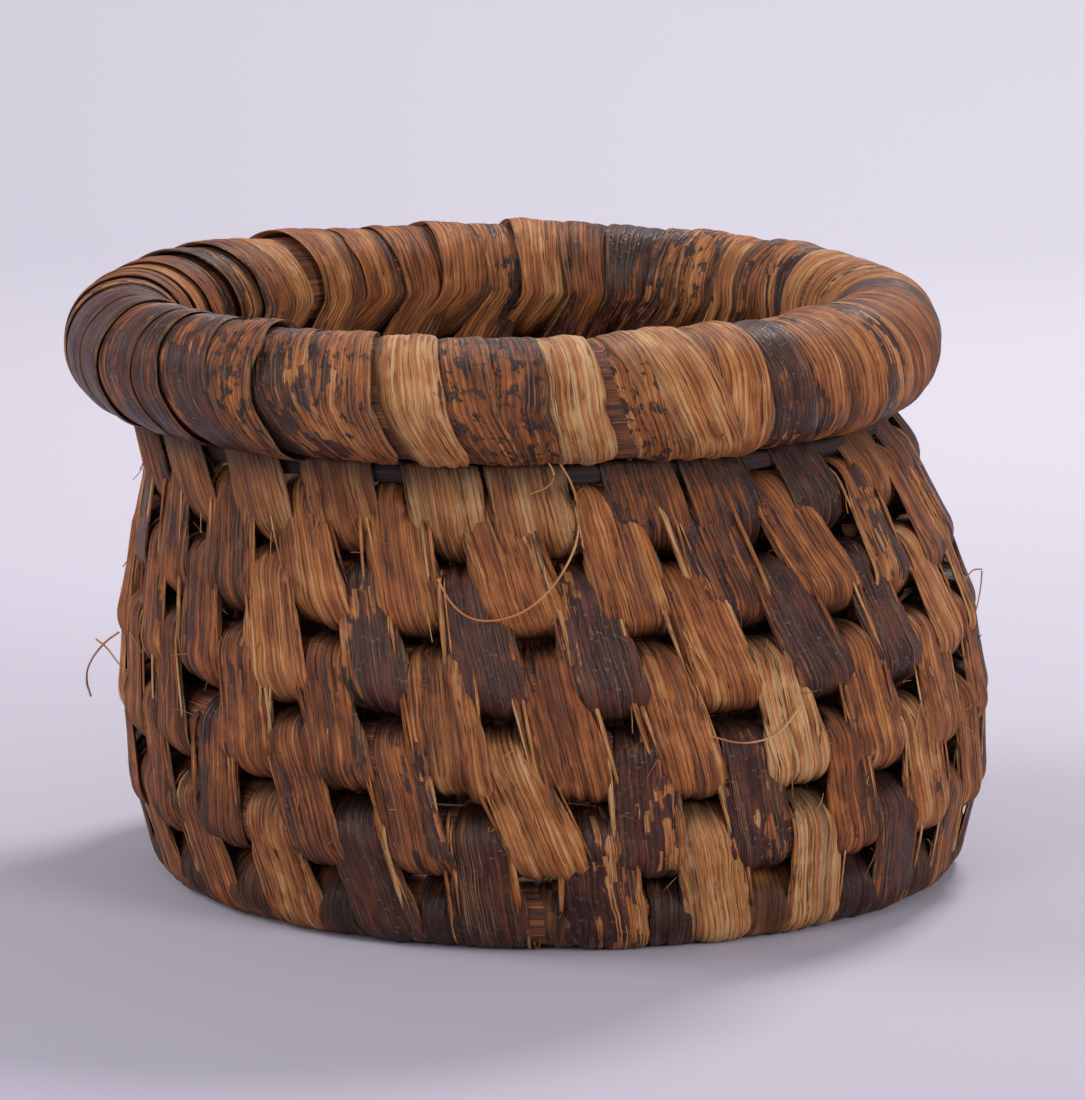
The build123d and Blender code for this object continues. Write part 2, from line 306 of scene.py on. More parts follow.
def hand_over(bands, material, node):
    """Finish a piece: build it, let it ride the basket, and let it stand for its solid."""
    piece = bands.build(material)
    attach(piece, "root")
    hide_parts(node)


# %% [markdown]
# Shader maths reads best as plain expressions. One small class wraps a socket, so that adding or
# multiplying two of them adds a Math node, and one method makes every other kind of node.

# %% Shader arithmetic
class Value:
    """An output socket of a material that can be added, multiplied and compared."""

    def __init__(self, tree, socket=None):
        self.tree = tree
        self.socket = socket

    def add(self, kind, inputs, settings=(), output=0):
        """Add any node: its settings first, then the values or links of its sockets."""
        node = self.tree.nodes.new("ShaderNode" + kind)
        for name, setting in dict(settings).items():
            if name == "stops":
                stops = node.color_ramp.elements
                while len(stops) < len(setting):
                    stops.new(0.5)
                for element, (position, colour) in zip(stops, setting):
                    element.position = position
                    element.color = (*colour, 1)
            else:
                setattr(node, name, setting)
        for name, value in inputs.items():
            if isinstance(value, Value):
                self.tree.links.new(value.socket, node.inputs[name])
            else:
                node.inputs[name].default_value = value
        return Value(self.tree, node.outputs[output])

    def math(self, operation, first, second=0.0):
        """One Math node."""
        return self.add("Math", {0: first, 1: second}, {"operation": operation})

    def __add__(self, other):
        return self.math("ADD", self, other)

    def __sub__(self, other):
        return self.math("SUBTRACT", self, other)

    def __rsub__(self, other):
        return self.math("SUBTRACT", other, self)

    def __mul__(self, other):
        return self.math("MULTIPLY", self, other)

    def step(self, low, high):
        """A smooth step: 0 below low, 1 above high."""
        ends = {"Value": self, "From Min": low, "From Max": high}
        return self.add("MapRange", ends, {"interpolation_type": "SMOOTHSTEP"})

    def noise(self, x, y, detail=2.0, roughness=0.55, z=0.0):
        """Cloudy noise from 0 to 1 over two stretched coordinates."""
        vector = self.add("CombineXYZ", {0: x, 1: y, 2: z})
        inputs = {"Vector": vector, "Scale": 1.0, "Detail": detail, "Roughness": roughness}
        return self.add("TexNoise", inputs)

    def blend(self, first, second, factor):
        """Mix two colours."""
        return self.add("Mix", {0: factor, 6: first, 7: second}, {"data_type": "RGBA"}, output=2)


def new_material(name):
    """A material with its surface shader, and a Value to build the rest from."""
    material = bpy.data.materials.new(name)
    material.use_nodes = True
    shader = material.node_tree.nodes["Principled BSDF"]
    return material, shader, Value(material.node_tree)


def connect(shader, name, value):
    """Feed a socket of the surface shader."""
    shader.id_data.links.new(value.socket, shader.inputs[name])


def read_map(make, name, axis):
    """One coordinate of one of the bands' two UV maps: 0 across the strip, 1 along it."""
    return make.add("SeparateXYZ", {0: make.add("UVMap", {}, {"uv_map": name})}, output=axis)


def read_value(make, name):
    """A number that the bands carry on their points."""
    return make.add("Attribute", {}, {"attribute_name": name}, output=2)


# %% [markdown]
# Dried leaf. The bare inner fibre is straw to orange tan, with fine parallel veins. Patches of the
# dark outer skin are left on it: they end along a vein, or straight across where the skin has flaked off.
# A painted picture could show that on one strip, but not on hundreds that all differ. So clouds of noise
# say where skin is left, and blocks of chance numbers, in columns each slid along by its own amount, give
# it ragged ends. Small soft dark spots lie over all. The veins also make the bump, and skin is glossier.

# %% Leaf material
LEAF_TONES = (
    (0.00, (0.520, 0.300, 0.140)),
    (0.18, (0.440, 0.180, 0.056)),
    (0.36, (0.310, 0.094, 0.023)),
    (0.54, (0.165, 0.044, 0.012)),
    (0.72, (0.070, 0.021, 0.010)),
    (0.86, (0.032, 0.012, 0.009)),
    (1.00, (0.013, 0.007, 0.008)),
)
SKIN_TONES = (
    (0.0, (0.125, 0.036, 0.017)),
    (0.5, (0.052, 0.017, 0.013)),
    (1.0, (0.016, 0.008, 0.010)),
)
VEIN_PITCH = 0.55
LEAF_RELIEF = 0.32
LEAF_ROUGHNESS = 0.62
LEAF_SPECULAR = 0.28
SKIN_LINE = (0.230, 0.105, 0.050, 1)
SPECK = (0.018, 0.010, 0.011, 1)
FRAYED_EDGE = (0.360, 0.190, 0.085, 1)
CRACK = (0.022, 0.011, 0.008, 1)
GLINT = (0.400, 0.200, 0.090, 1)
# Painted shade: the near-black blended in where a strip is tucked, creased or covered.
PAINTED_SHADE_TONE = (0.020, 0.010, 0.007, 1)


def leaf_material(name, gloss):
    """Veined leaf: tone ramp, flaked skin, spots, painted shade, and bump from the same veins."""
    material, shader, make = new_material(name)
    across, along, place = read_map(make, "leaf", 0), read_map(make, "leaf", 1), read_map(make, "place", 0)
    edge = make.math("ABSOLUTE", place)
    tint, skin, spots, deep = (read_value(make, key) for key in ("tint", "skin", "spots", "deep"))

    wobble = make.noise(across * 0.3, along * 0.2)
    veins = make.noise(across * 3.2 + wobble * 2.0, along * 0.07, 3.0, 0.7)
    fibres = make.noise(across * 10.0, along * 0.4, 2.0, 0.6)
    bands = make.noise(across * 0.9 + wobble, along * 0.035, 1.0)
    clouds = make.noise(across * 0.45, along * 0.25, 3.0, 0.6)
    ribs = make.math("SINE", (across + wobble * 0.5) * (2 * np.pi / VEIN_PITCH))
    furrow = (0.0 - ribs).step(0.5, 1.0)

    tone = tint + (veins - 0.5) * 1.0 + (bands - 0.5) * 0.8 + (clouds - 0.5) * 0.6 + (fibres - 0.5) * 0.45
    # Painted shade: the tone is a little darker in the rib valleys, besides their bump.
    tone = tone + furrow * 0.1
    bare = make.add("ValToRGB", {0: tone}, {"stops": LEAF_TONES})

    column = make.math("FLOOR", across * 2.1 + wobble * 3.0)
    slide = make.add("TexWhiteNoise", {"W": column}, {"noise_dimensions": "1D"})
    length = along * 0.42 + slide * 9.0 + wobble
    block = make.add("CombineXYZ", {0: column, 1: make.math("FLOOR", length), 2: 0.0})
    chip = make.add("TexWhiteNoise", {"Vector": block}, {"noise_dimensions": "3D"})
    seam = 1.0 - make.math("FRACT", length).step(0.02, 0.12)
    flakes = make.noise(across * 0.36, along * 0.17, 4.0, 0.6)
    cover = skin + place * 0.45 + (flakes - 0.5) * 2.4 + (chip - 0.5) * 0.8 + (veins - 0.5) * 0.9
    skin_mask = cover.step(0.0, 0.09)
    skin_tone = (clouds - 0.5) * 1.6 + (veins - 0.5) * 1.6 + (bands - 0.5) * 1.0 + (chip - 0.5) * 0.3 + 0.45
    dark = make.add("ValToRGB", {0: skin_tone}, {"stops": SKIN_TONES})
    colour = make.blend(bare, dark, skin_mask)
    crazed = seam * skin_mask * (clouds + (fibres - 0.5) * 0.6).step(0.48, 0.6)
    colour = make.blend(colour, SKIN_LINE, crazed * 0.7)

    specks = make.noise(across * 0.85, along * 0.6, 3.0, 0.65, 7.0) + (fibres - 0.5) * 0.25 + spots * 0.26
    speck_mask = specks.step(0.76, 0.83)
    colour = make.blend(colour, SPECK, speck_mask * 0.92)

    pale_edge = (edge + (clouds - 0.5) * 0.6 + (fibres - 0.5) * 0.3).step(0.9, 1.0) * 0.4
    colour = make.blend(colour, FRAYED_EDGE, pale_edge)
    cracks = make.noise(across * 2.6 + wobble * 3.0, along * 0.05, 1.0, 0.5, 3.0)
    crack_mask = 1.0 - make.math("ABSOLUTE", cracks - 0.5).step(0.004, 0.022)
    crack_mask = crack_mask * clouds.step(0.38, 0.56)
    colour = make.blend(colour, CRACK, crack_mask * 0.85)
    glints = make.noise(across * 5.2 + wobble * 3.0, along * 0.045, 1.0, 0.5, 11.0)
    glint_mask = (1.0 - make.math("ABSOLUTE", glints - 0.5).step(0.006, 0.03)) * bands.step(0.45, 0.6)
    colour = make.blend(colour, GLINT, glint_mask * 0.5)
    # Painted shade: darker in tucks, creases, fold valleys and under neighbours.
    colour = make.blend(colour, PAINTED_SHADE_TONE, deep * 0.75)
    connect(shader, "Base Color", colour)

    connect(shader, "Roughness", LEAF_ROUGHNESS - skin_mask * gloss + (fibres - 0.5) * 0.3)
    shader.inputs["Specular IOR Level"].default_value = LEAF_SPECULAR
    height = veins * 0.9 + fibres * 0.35 + skin_mask * 0.2 + bands * 0.5 - crack_mask * 0.5
    height = height - furrow * 0.3 - seam * skin_mask * 0.1
    bump = make.add("Bump", {"Height": height, "Strength": 1.0, "Distance": LEAF_RELIEF * METRES})
    connect(shader, "Normal", bump)
    return material


# %% [markdown]
# The bundle. It shows in the gaps of the wall and on both sides of the floor, as dull brown grass, made
# darker still as painted shade, so the gaps read as dark holes. Single stems as curves would take millions
# of faces for what the eye sees as streaks. The streaks follow the same map as the leaf's veins, but they
# are rounder, finer and without skin.

# %% Bundle material
# The grass's own dull brown, made darker as painted shade for the gaps between stitches.
BUNDLE_TONE_WITH_SHADE = 0.62
BUNDLE_RELIEF = 0.4


def bundle_material(name):
    """Grass stems: noise that is fine across the bundle and long along it."""
    material, shader, make = new_material(name)
    across, along = read_map(make, "leaf", 0), read_map(make, "leaf", 1)
    fine = make.noise(across * 5.0, along * 0.1, 3.0, 0.6)
    coarse = make.noise(across * 1.2, along * 0.05, 2.0, 0.5)
    tone = read_value(make, "tint") + (fine - 0.5) * 1.3 + (coarse - 0.5) * 0.8
    connect(shader, "Base Color", make.add("ValToRGB", {0: tone}, {"stops": LEAF_TONES}))
    connect(shader, "Roughness", fine * 0.3 + 0.6)
    height = fine + coarse * 0.5
    bump = make.add("Bump", {"Height": height, "Strength": 1.0, "Distance": BUNDLE_RELIEF * METRES})
    connect(shader, "Normal", bump)
    return material


bundle_fibre = bundle_material("bundle_fibre")
wall_leaf = leaf_material("wall_leaf", 0.2)
rim_leaf = leaf_material("rim_leaf", 0.26)

# %% [markdown]
# The bundles are round tubes along a line of points, rippled lengthwise where stems lie side by side.
# A curve with a bevel would give plain tubes, and a grid of our own can also ripple. The ripples are
# sines with whole waves round the tube, twisting slowly, and only add to the radius, so no tube is
# thinner than its solid. The coil swells a little more, to narrow the chinks between its rows, and its
# tail is darker, as painted shade deep in the crease under the rim.

# %% The coil, its thinned tail, the knot and the rim's core
RIPPLE = 0.12
STEM_WAVES = ((9, 0.05), (14, -0.03), (5, 0.02))
BUNDLE_SWELL = 0.2
CREASE_GAP = 3.91
CREASE_RIM = 6.59
TAIL_RADIUS = 2.4
TAIL_TAPER = 0.1
TAIL_RUN = 0.88
TAIL_SHADE = 0.3
KNOT_RADIUS = 3.23
KNOT_FULLNESS = 0.4
KNOT_POLE = 0.04
KNOT_SWIRL = 0.04
COIL_END = FLOOR_TURNS + SPACING * WALL_STITCHES + COLUMN


def crease(turns):
    """Middle and half width of the space between the top row, one turn before, and the rim."""
    below, above = coil_middle(turns - 1), rim_frame(turns - 1)[0]
    way = unit(above - below)
    low, high = below + way * CREASE_GAP, above - way * CREASE_RIM
    return (low + high) / 2, np.linalg.norm(high - low, axis=-1) / 2


def stems(turned, along):
    """Ripple between 0 and 1: three sines round the tube, each twisting at its own rate."""
    waves = sum(np.sin(count * turned + twist * along) for count, twist in STEM_WAVES)
    return (waves / len(STEM_WAVES) + 1) / 2


def lay_tube(bands, middle, radius, sides, tint, closed=False):
    """A tube: at each point of a line, a rippled ring square to the line, begun on its underside."""
    step = np.gradient(middle, axis=0)
    if closed:
        step = np.roll(middle, -1, axis=0) - np.roll(middle, 1, axis=0)
    ahead = unit(step)
    side = unit(np.cross(ahead, UP))
    over = np.cross(side, ahead)
    turned = np.linspace(0, 2 * np.pi, sides, endpoint=False) - np.pi / 2
    along = run_lengths(middle)
    rings = np.reshape(radius, (-1, 1)) + RIPPLE * stems(turned, along[:, None])
    spokes = np.cos(turned)[:, None] * side[:, None] + np.sin(turned)[:, None] * over[:, None]
    grid = middle[:, None] + rings[..., None] * spokes
    across = np.broadcast_to(turned * np.mean(radius), grid.shape[:2])
    habits = {"seed": random.uniform(0, 1000), "facing": 1.0, "tint": tint}
    bands.add(grid, along, across, turned / np.pi, habits, {}, closed)


bands = Bands("coil_grass")
lay_tube(bands, coil_middle(np.linspace(0, COIL_END, 1300)), COIL_RADIUS + BUNDLE_SWELL, 26, BUNDLE_TONE_WITH_SHADE)
hand_over(bands, bundle_fibre, "foundation_coil")

tail_turns = np.linspace(COIL_END, COIL_END + TAIL_RUN, 160)
part = np.clip((tail_turns - COIL_END) / TAIL_TAPER, 0, 1)
share = (part * part * (3 - 2 * part))[:, None]
crease_middle, crease_half = crease(tail_turns)
tail_middle = coil_middle(tail_turns) * (1 - share) + crease_middle * share
bands = Bands("tail_grass")
tail_radius = np.minimum(TAIL_RADIUS, crease_half - STRIP_CLEARANCE)
# Painted shade: the tail's tone is darker where it lies in the crease under the rim.
lay_tube(bands, tail_middle, tail_radius, 20, BUNDLE_TONE_WITH_SHADE + TAIL_SHADE)
hand_over(bands, bundle_fibre, "coil_tail")

bands = Bands("rim_grass")
rim_turns = np.linspace(0, 1, 300, endpoint=False)
rim_ring = np.array([RIM_SHIFT, 0, RIM_HEIGHT]) + outward(rim_turns) * RIM_RADIUS
lay_tube(bands, rim_ring, RIM_CORE_RADIUS, 32, BUNDLE_TONE_WITH_SHADE, closed=True)
hand_over(bands, bundle_fibre, "rim_core")


def lay_knot(bands):
    """A squarish button: powers of cosine and sine for its side view, with the grass coiling round it."""
    tall = np.linspace(-np.pi / 2 + KNOT_POLE, np.pi / 2 - KNOT_POLE, 40)
    turned = np.linspace(0, 2 * np.pi, 48, endpoint=False)
    radius = KNOT_RADIUS * np.cos(tall) ** KNOT_FULLNESS
    height = FLOOR_HEIGHT * (1 + np.sign(tall) * np.abs(np.sin(tall)) ** KNOT_FULLNESS)
    swirl = 1 + KNOT_SWIRL * np.sin(7 * turned + 3 * tall[:, None]) * np.cos(tall[:, None])
    rings = radius[:, None] * swirl
    heights = np.broadcast_to(height[:, None], rings.shape)
    grid = np.stack([rings * np.cos(turned), rings * np.sin(turned), heights], axis=-1)
    along = (tall - tall[0]) * KNOT_RADIUS
    across = np.broadcast_to(turned * KNOT_RADIUS, rings.shape)
    habits = {"seed": 5.0, "facing": 1.0, "tint": BUNDLE_TONE_WITH_SHADE - 0.1}
    bands.add(grid, along, across, turned / np.pi - 1, habits, {}, closed=False)


bands = Bands("knot_grass")
lay_knot(bands)
hand_over(bands, bundle_fibre, "start_knot")

# %% [markdown]
# A wall stitch goes round two rows at once. Its outline in the section of the wall is two half
# superellipses, one over each row, joined by straight sides. At the foot they are half circles. Higher
# up they are squarer and so fuller, because the wet leaf was pulled over a plump bundle. Each point then
# goes to its place on the coil: along the wall by its azimuth, up and out by the line from row to row.

# %% A stitch of the wall or floor
LOOP_COUNT = 76
SQUARENESS = 2.35
FOOT_SQUARENESS = 2.0
FINE_COUNT = 720
OVERLAP = 0.1
PLUMPNESS = 0.15
BULGE_PLACE, BULGE_WIDTH = -0.72, 0.22
FOOT_LIFT = 0.5
TUCK_SHADE = 0.7
HIDDEN_SHADE = 0.3
TOP_SHADE = 0.3
FOLD_SHADE = 0.55


def stitch_outline(half_gap, radius, squareness=SQUARENESS):
    """Two half superellipses |x/r|^n + |y/r|^n = 1, a gap apart, at even steps from the lower tuck up."""
    turn = np.linspace(0, 2 * np.pi, FINE_COUNT, endpoint=False) - np.pi / 2
    power = 2 / squareness
    x = np.sign(np.sin(turn)) * (half_gap + radius * np.abs(np.sin(turn)) ** power)
    y = radius * np.sign(np.cos(turn)) * np.abs(np.cos(turn)) ** power
    ring = np.stack([np.append(x, x[0]), np.append(y, y[0])], axis=-1)
    length = run_lengths(ring)
    even = np.linspace(0, length[-1], LOOP_COUNT, endpoint=False)
    line = read_at(ring, length, even)
    ahead = unit(np.roll(line, -1, axis=0) - np.roll(line, 1, axis=0))
    return line, np.stack([-ahead[:, 1], ahead[:, 0]], axis=-1), even


def on_the_wall(turn, x, y, sideways, lean):
    """Places on the wall: x from row to row, y inward, sideways along the rows, each in millimetres."""
    radius = coil_ring(np.array([turn - 1 / 2]))[0][0]
    turns = turn - lean * x / COIL_PITCH + sideways / (2 * np.pi * radius)
    upper, lower = coil_middle(turns), coil_middle(turns - 1)
    way = unit(upper - lower)
    inside = unit(np.cross(way, np.cross(UP, outward(turns))))
    return (upper + lower) / 2 + way * x[..., None] + inside * y[..., None]


def half_gap_at(turn):
    """Half the way from a row's middle to the middle of the row before it."""
    return np.linalg.norm(coil_middle(np.array(turn)) - coil_middle(np.array(turn - 1))) / 2


def between_edges(place, width, edges):
    """Millimetres across a strip: place times half the width, and each edge's stray in its share."""
    left, right = edges
    across = place[None, :] * (width / 2)[:, None]
    return across + left[:, None] * (1 - place) / 2 + right[:, None] * (1 + place) / 2


def lay_stitch(bands, turn, habits, lean=LEAN):
    """One stitch: outline round both rows, widths and heights on the grid, then bent onto the wall."""
    half = half_gap_at(turn)
    in_wall = turn > FLOOR_TURNS + 2
    squareness = SQUARENESS if in_wall else FOOT_SQUARENESS
    line, normal, along = stitch_outline(half, STRIP_MIDDLE, squareness)
    place, side = strip_profile()
    reach, outer = line[:, 0] / (half + STRIP_MIDDLE), ramp(-line[:, 1], 0, STRIP_MIDDLE)
    share = along / along[-1]
    pinch = habits["top_pinch"] * ramp(reach, -0.45, 1) ** 1.2 + habits["low_pinch"] * ramp(-reach, 0, 1) ** 6
    across = between_edges(place, habits["width"] * (1 - pinch), wandering_edges(share, habits))
    proud = outer[:, None]
    folded = pleats(place[None, :], share[:, None], habits)
    lift = folded * (0.6 + 0.6 * np.abs(reach))[:, None]
    plump = habits["crown"] + PLUMPNESS * np.exp(-((reach - BULGE_PLACE) / BULGE_WIDTH) ** 2)[:, None]
    lift = lift + (plump * (1 - place ** 2) - habits["droop"] * place ** 4) * (0.3 + 0.7 * proud)
    over = OVERLAP * np.clip(-reach * 2, -1, 1)[:, None]
    lift = lift + (habits["layer"] + over + habits["tilt"] * place) * proud
    lift = lift * (1 if in_wall else FOOT_LIFT) + side * STRIP_THICKNESS / 2
    x = line[:, :1] + normal[:, :1] * lift
    y = line[:, 1:] + normal[:, 1:] * lift
    sideways = across + habits["drift"] - habits["yaw"] * x
    grid = on_the_wall(turn, x, y, sideways, lean)
    # Painted shade: the hidden side, both tucks, the top under the row above, and the pleats' valleys.
    deep = (1 - outer) * HIDDEN_SHADE + ramp(np.abs(reach), 0.86, 1) * TUCK_SHADE
    deep = deep + ramp(reach, 0.45, 0.95) * TOP_SHADE
    deep = deep[:, None] + np.clip((-folded - 0.03) * 1.6, 0, FOLD_SHADE)
    bands.add(grid, along, across, place, habits, {"deep": np.clip(deep, 0, 1)}, closed=True)


# %% [markdown]
# Split leaf sheds slivers. A few narrow strands lie along the strips' edges, lifted in the middle and
# tucked at both ends. Hair particles would lie anywhere, and these have to follow their own strip. There
# are hundreds, so each is a plain four-sided band.

# %% Slivers beside the stitches
SLIVER_COUNT = 14
SLIVER_HALF_THICKNESS = 0.13
SLIVER_SINK = 0.1


def lay_sliver(bands, turn, habits, off_middle, first, last, width, proud, slant):
    """A strand on the outside of a stitch's outline, its height a half sine, its width tapering off."""
    line, normal, even = stitch_outline(half_gap_at(turn), STRIP_MIDDLE)
    part = np.linspace(0, 1, SLIVER_COUNT)
    wanted = (first + (last - first) * part) * even[-1]
    line, normal = read_at(line, even, wanted), read_at(normal, even, wanted)
    place = np.array([-1.0, 0.0, 1.0, 0.0])
    side = np.array([0.0, 1.0, 0.0, -1.0])
    taper = np.sqrt(np.sin(np.pi * (0.06 + 0.88 * part)))
    across = place * (width / 2 * taper)[:, None]
    bow = proud * np.sin(np.pi * part) ** 0.7
    lift = (habits["layer"] + bow - SLIVER_SINK)[:, None] + side * SLIVER_HALF_THICKNESS
    x, y = line[:, :1] + normal[:, :1] * lift, line[:, 1:] + normal[:, 1:] * lift
    drift = habits["drift"] + off_middle + slant * (part - 0.5)
    grid = on_the_wall(turn, x, y, across + drift[:, None] - habits["yaw"] * x, LEAN)
    # Painted shade at both tucked ends of the sliver.
    deep = 1 - np.sin(np.pi * part) ** 0.3
    bands.add(grid, wanted, across, place, habits, {"deep": deep}, closed=False)


def lay_slivers(bands, turn, habits, count):
    """A few slivers with seeded places, widths and slants, paler than their strip."""
    for _ in range(count):
        edge = random.choice([-1, 1]) * habits["width"] * random.uniform(0.3, 0.5)
        first, last = random.uniform(0.51, 0.62), random.uniform(0.82, 0.99)
        strand = dict(habits, seed=random.uniform(0, 1000), tint=random.uniform(0.0, 0.5), skin=-1.2)
        width, proud = random.uniform(0.2, 0.7), random.uniform(0.1, 0.3)
        lay_sliver(bands, turn, strand, edge, first, last, width, proud, random.normal(0, 0.8))


# %% [markdown]
# Which strip is pale and which is dark can't be a formula: the eye knows this basket by its dark maroon
# strips among the tan ones. The stitches that face the viewer are listed, row by row from left to right,
# as a tone, an amount of dark skin and an amount of spots. The rest are drawn from the seeded
# generator in like shares.

# %% The stitches' looks
PALE, TAN, WARM = (0.10, -0.95, 0.0), (0.2, -0.95, 0.0), (0.32, -0.8, 0.15)
ORANGE, BROWN, RED = (0.38, -0.9, 0.1), (0.5, -0.5, 0.3), (0.6, -0.1, 0.2)
DARK, BLACK, TORN, EDGED = (0.55, 0.75, 0.2), (0.75, 1.2, 0.2), (0.3, 0.32, 0.1), (0.3, 0.5, 0.1)
FRONT_FIRST = {1: 1, 2: 25, 3: 48, 4: 72, 5: 96, 6: 120}
FRONT_LOOKS = {
    1: (BROWN, BROWN, BROWN, RED, BLACK, TORN, DARK, ORANGE, DARK, BROWN, BROWN),
    2: (BROWN, BROWN, WARM, BLACK, DARK, TORN, PALE, TAN, DARK, BROWN),
    3: (BROWN, BROWN, RED, BROWN, BROWN, ORANGE, TORN, TORN, BROWN, WARM, ORANGE),
    4: (BROWN, BROWN, BROWN, BROWN, WARM, BROWN, ORANGE, TAN, ORANGE, ORANGE, BROWN),
    5: (BROWN, BROWN, WARM, EDGED, DARK, EDGED, WARM, DARK, DARK, TAN),
    6: (BROWN, BROWN, ORANGE, ORANGE, ORANGE, ORANGE, RED, BROWN, TORN, BROWN),
}
OTHER_LOOKS = (TAN, WARM, WARM, ORANGE, ORANGE, BROWN, BROWN, BROWN, RED, DARK, EDGED, TORN)


def look_of(number, row):
    """The listed look of a front stitch, or one drawn for the rest."""
    listed = FRONT_LOOKS[row]
    drawn = OTHER_LOOKS[random.integers(len(OTHER_LOOKS))]
    nth = number - FRONT_FIRST[row]
    return listed[nth] if 0 <= nth < len(listed) else drawn


# %% The wall's stitches
WALL_STRIP_WIDTH = 7.5
for row in range(1, WALL_ROWS + 1):
    name = f"wall_stitches_row_{row}"
    bands = Bands(name.replace("stitches", "leaves"))
    for number in range(WALL_STITCHES + 1):
        turn = FLOOR_TURNS + SPACING * number
        if int(turn) == FLOOR_TURNS + row - 1:
            habits = strip_habits(WALL_STRIP_WIDTH, look_of(number, row))
            lay_stitch(bands, turn, habits)
            lay_slivers(bands, turn, habits, random.integers(2, 6))
    hand_over(bands, wall_leaf, name)

# %% [markdown]
# The floor is sewn the same way, only flat, with fewer stitches towards the knot. Each turn's stitches sit
# midway between those of the turn outside it. The photograph doesn't show the floor, so the wall's own
# function lays it.

# %% The floor's stitches
FLOOR_STRIP_WIDTH = 4.2
ends = [FLOOR_TURNS + SPACING * number - 1 + LEAN / 2 for number in range(STRIP_PAIRS + 1)]
for turn_number, keep_every in ((3, 2), (2, 2), (1, 1)):
    sewn = [(first + second) / 2 for first, second in zip(ends, ends[1:])][::keep_every]
    name = f"floor_stitches_turn_{turn_number}"
    bands = Bands(name.replace("stitches", "leaves"))
    for turn in sewn:
        look = OTHER_LOOKS[random.integers(len(OTHER_LOOKS))]
        habits = strip_habits(FLOOR_STRIP_WIDTH, look, layer=0.0, crown=0.05, folds=0.4)
        lay_stitch(bands, turn, habits, lean=0.0)
    hand_over(bands, wall_leaf, name)
    ends = [turn - 1 for turn in sewn]

# %% [markdown]
# The rim's wraps. One strip runs on from wrap to wrap: up the outside of the roll, over the top and down
# the inside. A short wrap then closes under the roll. A long one goes on down round the top row of the
# wall and comes up through the crease, so the joint of each is hidden there. The outline is arcs and
# straight runs in the section of the rim, rounded off by a running mean, and the strips lie like
# shingles, each with one edge over its neighbour.

# %% One wrap round the rim
WRAP_COUNT = 92
RIM_STRIP_WIDTH = 7.8
NECK_STRIP_WIDTH = 5.2
CREASE_DEGREES = -96
SHINGLE = 0.34
RIM_SLANT = 0.9
SLANT_TURNS_BACK = 185
SLANT_ENDS = 258
RIM_YAW = 0.14
INNER_NARROWING = 0.12
CREASE_SHADE = 0.8
INNER_SHADE = 0.3
COVERED_PLACE = -0.18
COVERED_SHADE = 0.45
LOW_COVERED_SHADE = 0.9
RIM_LAYERS = (-0.35, -0.25, -0.15, -0.1, 0.15)


def arc(middle, radius, first, last, count):
    """Points of an arc from one direction to another, in degrees, as (out, up)."""
    turned = np.radians(np.linspace(first, last, count))
    return np.stack([middle[0] + radius * np.cos(turned), middle[1] + radius * np.sin(turned)], axis=-1)


def wrap_outline(away, long):
    """One wrap in the rim's section, from the crease over the top and back to the crease.

    away is the way from the coil's middle to the rim's, so the coil lies at minus away. A long wrap
    leaves the roll where a line touches both circles, and comes back where one touches the crease.
    """
    if not long:
        return arc((0, 0), RIM_STRIP_MIDDLE, CREASE_DEGREES, CREASE_DEGREES + 356, 90)
    facing = np.degrees(np.arctan2(-away[1], -away[0]))
    leave = facing - np.degrees(np.arccos((RIM_STRIP_MIDDLE - STRIP_MIDDLE) / np.hypot(*away)))
    over = arc((0, 0), RIM_STRIP_MIDDLE, CREASE_DEGREES, leave + 360, 60)
    crease = away + over[0]
    arrive = np.degrees(np.arctan2(crease[1], crease[0]) - np.arccos(STRIP_MIDDLE / np.hypot(*crease)))
    return np.vstack([over, arc(-away, STRIP_MIDDLE, leave, arrive, 40), over[:1]])


def even_line(line, count):
    """The same line at even steps, its corners rounded by a running mean."""
    length = run_lengths(line)
    even = np.linspace(0, length[-1], count)
    padded = np.pad(read_at(line, length, even), ((2, 2), (0, 0)), mode="edge")
    kernel = np.array([1, 2, 3, 2, 1]) / 9
    line = np.stack([np.convolve(padded[:, axis], kernel, mode="valid") for axis in (0, 1)], axis=-1)
    return line, even


